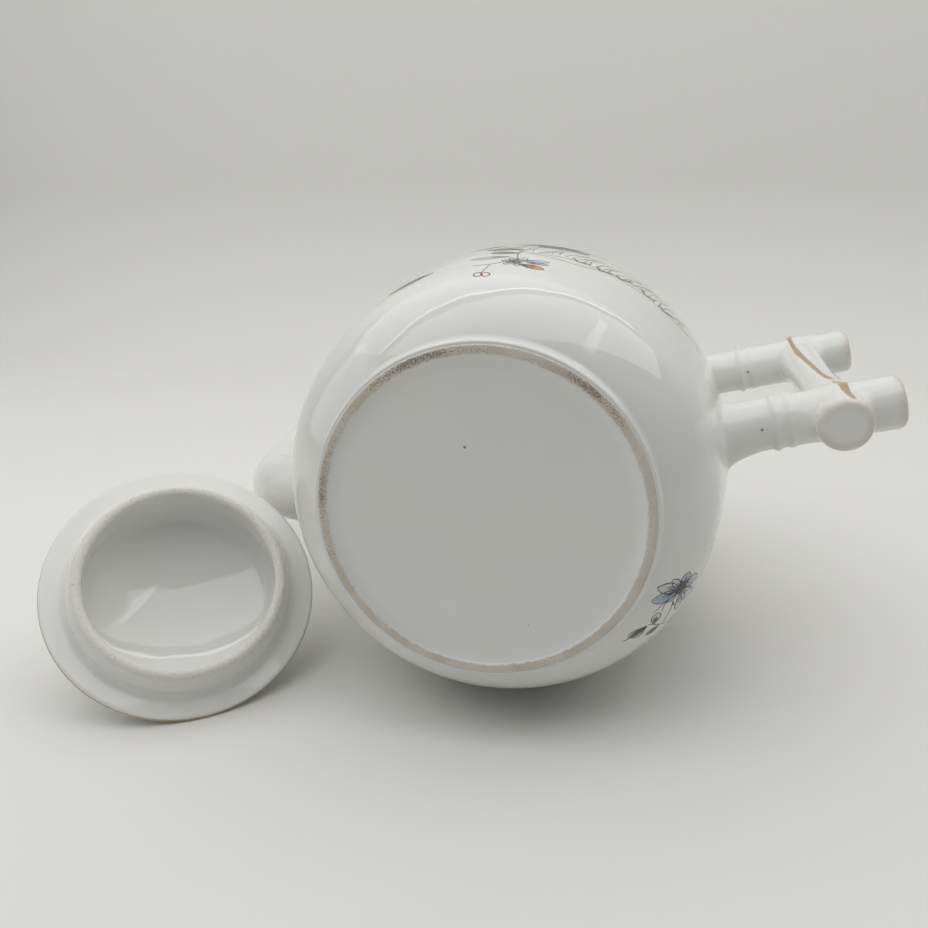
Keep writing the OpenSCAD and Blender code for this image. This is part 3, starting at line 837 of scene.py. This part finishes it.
LINE, BLUE, GREY, OLIVE, RUST, GREEN, ORANGE, STEM = COLOURS
OUTLINE_W, VEIN_W, LEAF_EDGE_W, LEAF_RIB_W, STAMEN_W = 0.34, 0.16, 0.2, 0.24, 0.18
PETAL_POINTS, HEART_POINTS, STAMENS = 12, 20, 9


def petal_shape(root, tip, width, bend=0.0):
    """Outline of a pointed petal, how far along it each point lies, and its side."""
    root, tip = np.array(root, float), np.array(tip, float)
    way = tip - root
    side = sideways(way) / np.hypot(*way)
    t = np.linspace(0, 1, PETAL_POINTS)
    half = width / 2 * np.sin(math.pi * t ** 1.25) ** 0.8 + 0.02
    line = root + way * t[:, None] + side * (bend * np.sin(math.pi * t))[:, None]
    left, right = line + side * half[:, None], line - side * half[:, None]
    ones = np.ones(len(t))
    return np.vstack([left, right[::-1]]), np.r_[t, t[::-1]], np.r_[ones, -ones]


def petal(spray, root, tip, width, fill, bend=0.0, edge=LINE, veins=2, edge_w=OUTLINE_W):
    """A petal with its outline and veins. Gives its two edges."""
    shape, along, across = petal_shape(root, tip, width, bend)
    fill.patch(spray, shape, along, across)
    edges = np.split(shape, 2)
    for part in edges:
        edge.stroke(spray, part, edge_w, steps=2)
    root, tip = np.array(root, float), np.array(tip, float)
    way = tip - root
    side = sideways(way) / np.hypot(*way)
    for k in range(veins):
        off = side * width * (k - (veins - 1) / 2) * 0.22
        bent = root + off + side * bend * 0.8
        vein = [root + way * 0.12 + off * 0.3, bent + way * 0.45, bent + way * 0.66]
        LINE.stroke(spray, vein, VEIN_W, 0.2, steps=4)
    return edges


def heart(spray, at, size):
    """The dark, lobed middle of a flower, with its stamens."""
    a = circle(HEART_POINTS)
    reach = size * (1 + 0.22 * np.sin(5 * a))
    ring = np.stack([at[0] + reach * np.cos(a), at[1] + reach * np.sin(a)], 1)
    OLIVE.patch(spray, ring, np.zeros(HEART_POINTS), np.ones(HEART_POINTS))
    for a in circle(STAMENS, 0.3):
        way = size * np.array([math.cos(a), math.sin(a)])
        LINE.stroke(spray, [at + way * 0.8, at + way * 1.75], STAMEN_W, 0.5, steps=2)


def bloom(spray, at, size, fill, seed, petals=7, edge=LINE):
    """A whole open flower seen from the front: an outer ring of petals and a smaller, paler one."""
    rnd = random.Random(seed)
    for reach, turn, colour, veins in ((1.0, 0.5, fill, 3), (0.62, 0.0, GREY, 2)):
        for i in range(petals):
            a = FULL_TURN * (i + turn) / petals + rnd.uniform(-0.12, 0.12)
            way = size * np.array([math.cos(a), math.sin(a)])
            tip = at + way * reach * rnd.uniform(0.88, 1.08)
            bend = rnd.uniform(-0.06, 0.06) * size
            petal(spray, at + way * 0.12, tip, size * reach * 0.72, colour, bend, edge, veins)
    heart(spray, at, size * 0.16)


def leaf(spray, root, tip, width, bend=0.0, fill=OLIVE):
    left, right = petal(spray, root, tip, width, fill, bend, veins=0, edge_w=LEAF_EDGE_W)
    middle = (left + right[::-1]) / 2
    STEM.stroke(spray, middle[::2], LEAF_RIB_W, steps=3)


def bud(spray, root, tip, width):
    """A pale bud with a rust red middle."""
    petal(spray, root, tip, width, GREY, veins=1)
    low, high = (np.array(root) * (1 - share) + np.array(tip) * share for share in (0.15, 0.65))
    RUST.patch(spray, *petal_shape(low, high, width * 0.5))


def strokes(spray, colour, rows, **how):
    """Strokes of one colour, each (width, point, point, ...)."""
    for width, *points in rows:
        colour.stroke(spray, points, width, **how)


def side_spray():
    """The spray low on the side by the table: its foot as photographed, and a guess up the hidden side."""
    at = SIDE_SPRAY
    for *tip, width, fill, bend in (
            (-2.8, 6.8, 3.4, GREY, 0.2), (2.9, 8.6, 3.8, GREY, -0.3), (7.2, 5.6, 3.4, GREY, 0.3),
            (-4.8, 1, 3.6, BLUE, 0.1), (-2.6, -4.6, 2.2, GREY, 0), (0.4, -8.2, 3.4, GREY, -0.2),
            (4.9, -7.6, 3.6, BLUE, 0.2), (4.4, -2.4, 2.6, BLUE, 0)):
        petal(at, (0.05 * tip[0], 0.4 + 0.05 * tip[1]), tip, width, fill, bend)
    ORANGE.stroke(at, [(0.1, -8.3), (-1, -6.6), (-1.3, -4.8)], 0.4, steps=4)
    heart(at, (0, 0.6), 1.9)
    strokes(at, RUST, [(0.34, (3.4, -1.6), (4.6, -2.6), (6.2, -3.6), (8.4, -4.6)),
                       (0.34, (4.2, -2.2), (5.8, -2.2), (7.3, -1.8))])
    RUST.stroke(at, [(3.9, 0.2), (4.9, 0.9), (5.3, 1.9)], 0.8, steps=4)
    STEM.stroke(at, [(3.7, 0.1), (7, 1.8), (9.9, 2.7), (11.8, 3.6)], 0.4)
    bud(at, (11.9, -0.8), (8, -2.9), 2.9)
    STEM.stroke(at, [(11.8, 3.6), (11.9, 0), (12.3, -2.7)], 0.34)
    petal(at, (12.7, -2.8), (18, -5.6), 3.4, GREY, 0.7, veins=0)
    leaf(at, (12.7, -2.8), (18.2, -4.6), 1.9, -0.2)
    RUST.stroke(at, [(16.6, -3.9), (18, -4.5), (20, -5.4)], 0.5, steps=4)
    leaf(at, (12, 2.4), (15.9, 0.2), 2.2, 0.2)
    # from here up it is a guess
    strokes(at, STEM, [(0.55, (0.4, 4), (2.2, 12), (6, 22), (10, 34)),
                       (0.45, (11.8, 3.6), (11, 12), (9, 24), (10, 34)),
                       (0.45, (6, 22), (0, 34), (-5, 50), (-7, 62)),
                       (0.5, (10, 34), (6, 52), (6, 68), (3, 88))])
    for row in (((3, 15), (-8, 22), 5.5, 0.8), ((8, 26), (19, 27), 5, -0.8),
                ((2, 31), (-9, 34), 5, 0.7), ((6, 62), (17, 72), 5.2, 0.8),
                ((5, 76), (-6, 84), 4.8, -0.8), ((8, 50), (20, 56), 5.4, 0.9)):
        leaf(at, *row)
    bloom(at, (10, 40), 11.5, BLUE, 3)
    bloom(at, (-7, 60), 8.5, ORANGE, 5, 6, RUST)
    bloom(at, (6, 68), 6.5, BLUE, 8, 6)
    bud(at, (3, 88), (2, 95), 3.6)
    bud(at, (-5, 72), (-8, 78), 3)
    STEM.stroke(at, [(-7, 62), (-6, 68), (-5, 72)], 0.4)


def top_spray():
    """The spray along the upper side: the edge in view as photographed, and a guess beyond it."""
    at = TOP_SPRAY
    strokes(at, RUST, [
        (0.45, (-9.4, -11.8), (-8.6, -13), (-7.4, -12.9), (-7.5, -11), (-8.6, -10.7), (-9.4, -11.8)),
        (0.45, (-7.3, -11), (-6.6, -13.2), (-5.2, -12.9), (-5, -11.9), (-6, -10.9), (-7.3, -11))],
        taper=0.8, steps=4)
    LINE.stroke(at, [(-7.4, -10.8), (-6.9, -7.6), (-6.4, -3.5)], 0.3)
    RUST.stroke(at, [(-11.1, -3), (-9.1, -3.4), (-6.5, -2.9), (-4.2, -1.2), (-2.8, 0.9)], 0.55)
    petal(at, (0.7, -2.3), (7.8, -4.6), 3.6, ORANGE, 0.1, veins=4)
    for row in (((-0.4, 0.6), (-4.4, 1.4), 2.2, BLUE), ((0, 1.2), (-2.4, 5.2), 2.4, BLUE),
                ((0.4, 0.4), (1.2, 6.2), 2.6, GREY), ((1, 1.4), (7.8, 4.4), 2.8, GREY),
                ((2.4, 0), (8.2, 1.2), 1.8, BLUE), ((-0.6, 0.4), (-3, -3.2), 1.8, GREY),
                ((0.2, -0.4), (0.6, -4.2), 1.8, GREY)):
        petal(at, *row, veins=1)
    heart(at, (0.1, -0.5), 1)
    leaf(at, (-2.8, 6.6), (-13.2, 5.8), 3.4, 0.4, GREY)
    leaf(at, (-1, 12.8), (-9.4, 14.2), 4, 0.4)
    leaf(at, (-22.6, 0.4), (-35.6, -2.6), 5.2, 0.4)
    RUST.stroke(at, [(-24.4, 0), (-22.7, 0.8)], 0.9, steps=4)
    strokes(at, STEM, [
        (0.34, (1.3, 13.6), (6, 11.7), (10.6, 10.9), (15.1, 10.8), (19.4, 13.8), (23.9, 16.6), (29, 16.2),
         (34.3, 17.5), (40.1, 16.7), (46.3, 20.3), (49.9, 22.3)),
        (0.34, (-1, 15.5), (5.6, 14.4), (9.9, 15.8), (14.5, 15.5), (21.5, 16.7), (26.7, 18.6), (31, 22))])
    for i, (u, v) in enumerate(((14.1, 15.2), (20.4, 14.2), (26, 16.4), (33.6, 17.5), (40, 17))):
        leaf(at, (u, v), (u + 3.4, v + 3.0 + 1.5 * (i % 3)), 0.9, 0.2)
        leaf(at, (u, v), (u - 1.6, v + 3.6 + 1.2 * (i % 2)), 0.8, -0.2)
    grass = random.Random(21)
    for i in range(34):
        u, v = -9 + 1.75 * i, 15 + grass.uniform(0, 4) + 0.06 * i
        tip = (u + grass.uniform(1, 7), v + grass.uniform(8, 17))
        bent = ((u + tip[0]) / 2 - 0.9, (v + tip[1]) / 2)
        colour = STEM if i % 3 else GREEN
        colour.stroke(at, [(u, v), bent, tip], grass.uniform(0.22, 0.5))
    # from here on it is a guess
    strokes(at, STEM, [(0.5, (0, 2), (-1.5, 12), (0, 26), (4, 44)),
                       (0.5, (-1, 16), (-8, 30), (-12, 48), (-11, 60)),
                       (0.45, (4, 44), (12, 58), (14, 72))])
    for row in (((-1, 20), (-12, 24), 5, 0.7), ((1, 30), (15, 38), 5.4, 0.8),
                ((-12, 50), (-23, 54), 4.8, 0.7), ((8, 54), (20, 58), 5, -0.8),
                ((-3, 48), (-6, 62), 4.6, 0.6), ((-9, 32), (-20, 38), 4.6, 0.8)):
        leaf(at, *row)
    bloom(at, (4, 44), 11.5, BLUE, 13)
    bloom(at, (-12, 60), 8, ORANGE, 15, 6, RUST)
    bloom(at, (14, 68), 6.5, BLUE, 18, 6)
    bud(at, (14, 74), (16, 82), 3.6)
    bud(at, (-11, 68), (-12, 75), 3.2)


# --- lid ---
DOME_RUN = LID_R - LID_EDGE_R
DOME_R = (DOME_RUN ** 2 + (DOME_H - LID_EDGE_R) ** 2 - LID_EDGE_R ** 2) / (2 * (DOME_H - 2 * LID_EDGE_R))
DOME_Z = DOME_H - DOME_R
DOME_HALF = math.asin(DOME_RUN / (DOME_R - LID_EDGE_R))
HOLLOW_FILLET, HOLLOW_PLAY = 6.5, 0.6
HOLLOW_R = COLLAR_R - COLLAR_T - HOLLOW_PLAY
FILLET_REACH = DOME_R - LID_T - HOLLOW_FILLET
FILLET_TURN = math.asin((HOLLOW_R - HOLLOW_FILLET) / FILLET_REACH)
LID_AROUND = 224
GOLD_Z, GOLD_HALF, GOLD_BAND = 0.70, 0.27, 3.0  # the gilded line: height, half width, reach from the rim
COLLAR_BARE, BARE_SOFT, COLLAR_DIRT = 0.42, 1.0, 0.18
KNOB_STEP, KNOB_ROUND, KNOB_SUNK, JOIN_KNOB = 0.6, 2.0, 8.0, 7.0
KNOB_BOX = ((-18, -18, DOME_H - KNOB_SUNK), (18, 18, DOME_H + KNOB_H + 2))


def lid_profile():
    """Closed side view: the collar's end and outside, the rim, the dome, and back down the hollow."""
    end_r = COLLAR_R - COLLAR_TAPER
    collar = arc(end_r - COLLAR_T / 2, COLLAR_T / 2 - COLLAR_H, COLLAR_T / 2, -HALF_TURN, 0, 20)
    root = arc(COLLAR_R + RIM_FILLET, -RIM_FILLET, RIM_FILLET, HALF_TURN, QUARTER, 14)
    edge = arc(DOME_RUN, LID_EDGE_R, LID_EDGE_R, -QUARTER, QUARTER - DOME_HALF, 16)
    dome = arc(0, DOME_Z, DOME_R, QUARTER - DOME_HALF, QUARTER, 48)
    ceiling = arc(0, DOME_Z, DOME_R - LID_T, QUARTER, QUARTER - FILLET_TURN, 30)
    round_in = arc(FILLET_REACH * math.sin(FILLET_TURN), DOME_Z + FILLET_REACH * math.cos(FILLET_TURN),
                   HOLLOW_FILLET, QUARTER - FILLET_TURN, 0, 14)
    side, inside = straight(collar[-1], root[0], 20), straight(round_in[-1], collar[0], 20)
    line = clean(collar + side + root + edge + dome + ceiling + round_in + inside, 0.03)
    return [(max(r, 0.0), z) for r, z in line]


def lid_shell():
    line = lid_profile()
    verts, faces = lathe(line + [line[0]], LID_AROUND)
    last = len(verts) - LID_AROUND  # the line's end is its start, so that ring is used twice
    verts, faces = np.array(verts[:last]), [[k - last if k >= last else k for k in f] for f in faces]
    r, z = np.hypot(verts[:, 0], verts[:, 1]), verts[:, 2]
    bare_z = COLLAR_T * COLLAR_BARE - COLLAR_H
    looks = {"bare": np.clip((bare_z - z) / BARE_SOFT + 0.5, 0, 1),
             "gold": np.where(r > LID_R - GOLD_BAND, GOLD_HALF - np.abs(z - GOLD_Z), NO_GOLD),
             "dirt": np.full(len(r), COLLAR_DIRT)}
    mat = glazed("porcelain_lid", clay=(COLLAR_CLAY, COLLAR_CLAY), gold_ragged=0.05)
    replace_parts(make_piece("lid_shell", verts, faces, mat, "lid", extra=looks), "lid")


def dome_distance(p):
    return np.hypot(np.hypot(p[:, 0], p[:, 1]), p[:, 2] - DOME_Z) - DOME_R


def knob_field(p):
    r = KNOB_R + node_rings(p[:, 2] - DOME_H, KNOB_NODE_UP)
    half = (KNOB_H + KNOB_SUNK) / 2
    knob = stick(p[:, 2] - (DOME_H + KNOB_H - half), np.hypot(p[:, 0], p[:, 1]), r, half, KNOB_ROUND)
    return smooth_min(knob, dome_distance(p), JOIN_KNOB)


def lid_knob():
    verts, quads, normals = skirted(knob_field, dome_distance, *KNOB_BOX, KNOB_STEP)
    piece = make_piece("knob_stick", verts, quads.tolist(), glazed("porcelain_knob"), "lid", normals)
    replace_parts(piece, "lid_knob")


# --- room (in metres from here on) ---
FLOOR_FRONT, FLOOR_BACK, SWEEP_R, WALL_TOP, ROOM_HALF = -0.75, 0.30, 0.12, 0.52, 2.2
PAPER, PAPER_ROUGH, PAPER_SHINE = (0.80, 0.793, 0.768), 0.75, 0.3


def make_room():
    """A sheet of pale paper that sweeps up from the table to the wall."""
    line = [(FLOOR_FRONT, 0.0), *arc(FLOOR_BACK, SWEEP_R, SWEEP_R, -QUARTER, 0, 32),
            (FLOOR_BACK + SWEEP_R, WALL_TOP)]
    verts = [(x, y, z) for y, z in line for x in (-ROOM_HALF, ROOM_HALF)]
    faces = [(2 * i, 2 * i + 1, 2 * i + 3, 2 * i + 2) for i in range(len(line) - 1)]
    mesh = bpy.data.meshes.new("sweep")
    mesh.from_pydata(verts, [], faces)
    mesh.shade_smooth()
    m = Nodes("paper")
    m.feed(m.bsdf, {"Specular IOR Level": PAPER_SHINE})
    mesh.materials.append(m.finish(PAPER, PAPER_ROUGH))
    add_object("sweep", mesh)


# --- light: slanted panels overhead, and dim ones at the right and the left ---
PANEL_Z, PANEL_EDGE_Y, PANEL_SLANT = 0.62, 0.174, math.atan(0.64)
PANEL_LONG, PANEL_DEEP, PANEL_GLOW = 1.7, 0.62, 1.02
STRIP_WIDE, STRIP_GLOW, STRIP_BELOW = 0.022, 3.2, 0.004
FRONT_GAP, FRONT_DEEP, FRONT_GLOW = 0.08, 0.48, 1.5
RIGHT_AT, RIGHT_LONG, RIGHT_WIDE, RIGHT_GLOW = (0.31, -0.08, 0.55), 0.42, 0.05, 1.6
LEFT_AT, LEFT_LONG, LEFT_TALL, LEFT_GLOW = (-0.62, -0.20, 0.28), 0.6, 0.42, 0.72
ROOM_LIGHT, ROOM_GLOW = (0.93, 0.95, 0.94), 0.13


def area_light(name, at, turn, size, glow, tilt=0.0):
    """A rectangle facing down, then tilted and turned by angles; glow is its brightness."""
    data = bpy.data.lights.new(name, "AREA")
    data.shape, data.size, data.size_y = "RECTANGLE", *size
    data.energy = glow * math.pi * size[0] * size[1]
    light = add_object(name, data)
    light.location = at
    light.rotation_euler = (0, tilt, turn)


def make_lights():
    """The overhead panel's front edge carries a brighter strip, as its reflection in the glaze shows."""
    c, s = math.cos(PANEL_SLANT), math.sin(PANEL_SLANT)
    panels = (("panel", PANEL_DEEP / 2, PANEL_DEEP, PANEL_Z, PANEL_GLOW),
              ("front", -FRONT_GAP - FRONT_DEEP / 2, FRONT_DEEP, PANEL_Z, FRONT_GLOW),
              ("strip", 0.0, STRIP_WIDE, PANEL_Z - STRIP_BELOW, STRIP_GLOW))
    for name, back, wide, z, glow in panels:
        area_light(name, (-s * back, PANEL_EDGE_Y + c * back, z), PANEL_SLANT, (PANEL_LONG, wide), glow)
    area_light("side", RIGHT_AT, QUARTER, (RIGHT_LONG, RIGHT_WIDE), RIGHT_GLOW)
    area_light("left", LEFT_AT, 0.0, (LEFT_TALL, LEFT_LONG), LEFT_GLOW, tilt=-QUARTER)
    world = bpy.data.worlds.new("room")
    world.use_nodes = True
    air = world.node_tree.nodes["Background"]
    air.inputs["Color"].default_value = (*ROOM_LIGHT, 1)
    air.inputs["Strength"].default_value = ROOM_GLOW
    bpy.context.scene.world = world
    bpy.context.scene.view_settings.view_transform = "Standard"


make_camera()
make_room()
make_lights()
pot_shell()
make_handle()
make_spout()
side_spray()
top_spray()
for colour in COLOURS:
    colour.build()
lid_shell()
lid_knob()
